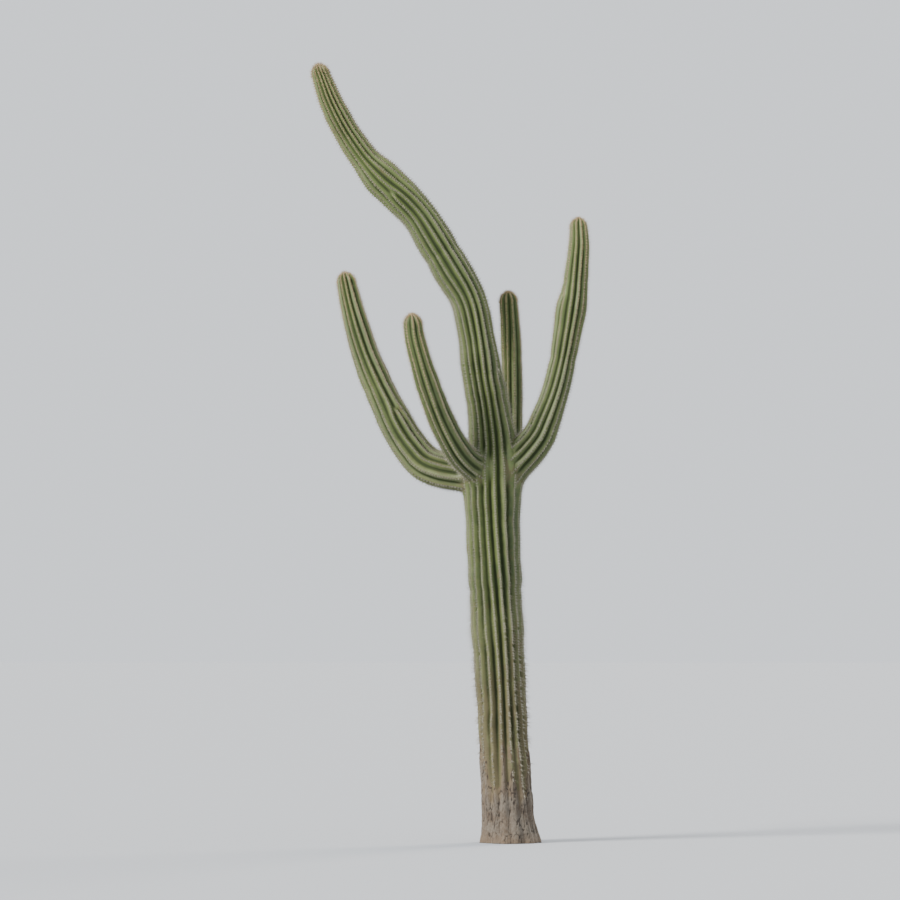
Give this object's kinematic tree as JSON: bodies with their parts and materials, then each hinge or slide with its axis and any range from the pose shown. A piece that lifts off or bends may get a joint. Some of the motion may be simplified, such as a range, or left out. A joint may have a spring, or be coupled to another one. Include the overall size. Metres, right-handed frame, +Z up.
{
  "type": "saguaro cactus",
  "caption": "Tall ribbed desert cactus with a leaning trunk and upturned arms, rooted in level ground.",
  "frame": {"origin": "middle of the flat cut under the trunk, at ground level", "axes": "+Z straight up from the level ground, +X to the right as the plant is seen, so that the trunk leans towards -X, +Y away from the viewer"},
  "size_m": [2.356, 1.3608, 6.5967],
  "materials": {
    "trunk_skin": "waxy grey-green skin, corky and grey-tan at the foot",
    "arm_skin": "waxy green skin",
    "spines": "dull grey to straw-coloured spines",
    "areole_felt": "matt grey-tan felt"
  },
  "bodies": {
    "root": {"trunk": "trunk_skin", "left_arm_elbow": "arm_skin", "left_arm": "arm_skin", "right_arm_elbow": "arm_skin", "right_arm": "arm_skin", "front_arm_elbow": "arm_skin", "front_arm": "arm_skin", "back_arm_elbow": "arm_skin", "back_arm": "arm_skin"}
  },
  "joints": []
}
